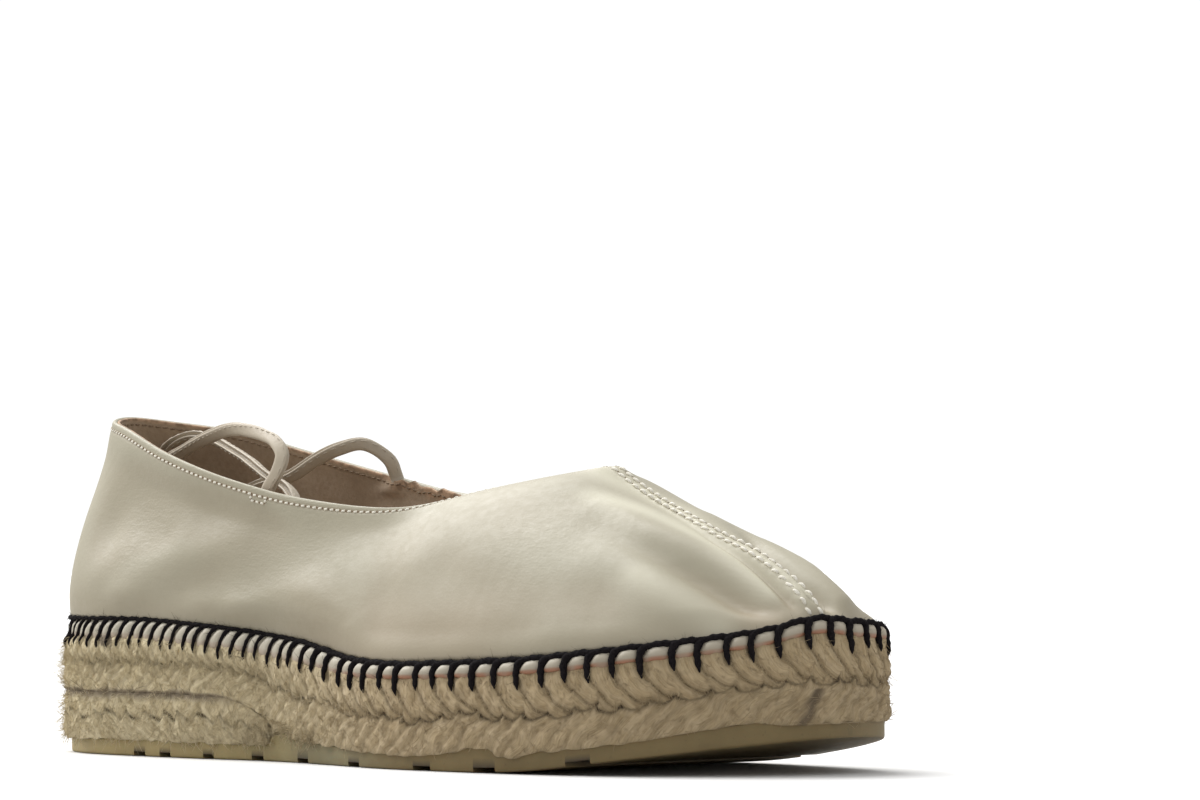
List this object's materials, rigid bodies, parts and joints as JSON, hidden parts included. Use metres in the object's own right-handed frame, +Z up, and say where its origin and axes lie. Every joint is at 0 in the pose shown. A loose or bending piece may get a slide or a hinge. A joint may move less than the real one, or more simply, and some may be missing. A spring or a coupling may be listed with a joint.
{
  "type": "espadrille_flat",
  "caption": "Pale leather espadrille flat for the right foot with a seamed vamp, thin ankle ties, a two-layer jute sole with a heel wedge, and a rubber outsole",
  "frame": {"origin": "on the floor under the middle of the sole's bounding box", "axes": "+X to the toe, +Z up, -Y to the outer side of the right foot"},
  "size_m": [0.2502, 0.0904, 0.085],
  "materials": {
    "rubber": "translucent olive-beige crepe rubber, satin",
    "jute": "natural straw-coloured jute braid, hairy and matt",
    "leather": "smooth pale greige leather with a soft sheen",
    "lining": "matt brown lining leather"
  },
  "bodies": {
    "root": {"outsole": "rubber", "heel_wedge": "jute", "jute_sole": "jute", "upper": "leather", "insole": "lining", "tie_lateral": "leather", "tie_medial": "leather"}
  },
  "joints": []
}
